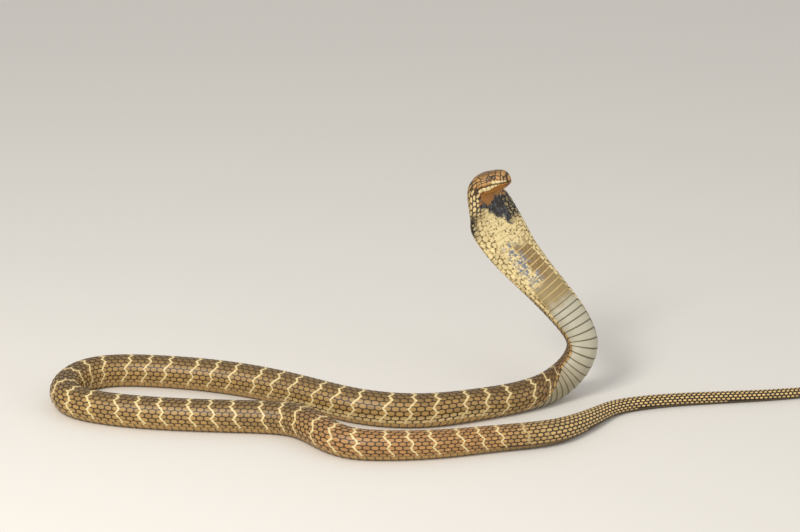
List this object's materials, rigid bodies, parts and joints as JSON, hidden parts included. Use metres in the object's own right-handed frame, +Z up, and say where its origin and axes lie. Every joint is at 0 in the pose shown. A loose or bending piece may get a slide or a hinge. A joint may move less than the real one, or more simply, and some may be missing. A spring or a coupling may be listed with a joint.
{
  "type": "king cobra model",
  "caption": "Life-size still model of a king cobra reared up with its hood half spread, its body looped on the floor and its tail trailing",
  "frame": {"origin": "on the floor, below the middle of the box round the animal", "axes": "+Z up; +X along the length of the looped body, towards the tip of the tail; +Y away from the side that the raised belly faces"},
  "size_m": [1.6861, 0.4329, 0.4035],
  "materials": {
    "head_shields": "pinkish tan head shields with dark seams, satin",
    "eye": "wet gloss, bronze iris and round black pupil",
    "throat_skin": "cream scales and belly scutes, mottled grey brown, dark band under the throat",
    "belly_skin": "silver grey belly scutes with dark edges, satin",
    "body_scales": "olive tan scales with dark seams and cream zigzag bands, satin",
    "tail_scales": "near black scales with cream spots, satin"
  },
  "bodies": {
    "root": {"head": "head_shields", "eye_right": "eye", "eye_left": "eye", "hood_upper": "throat_skin", "hood_lower": "throat_skin", "neck_upper": "belly_skin", "neck_lower": "belly_skin", "neck_base": "belly_skin", "body_1": "body_scales", "body_2": "body_scales", "body_3": "body_scales", "body_4": "body_scales", "body_5": "body_scales", "body_6": "body_scales", "body_7": "body_scales", "body_8": "body_scales", "body_9": "body_scales", "body_10": "body_scales", "body_11": "body_scales", "tail_1": "tail_scales", "tail_2": "tail_scales", "tail_3": "tail_scales", "tail_4": "tail_scales"}
  },
  "joints": []
}
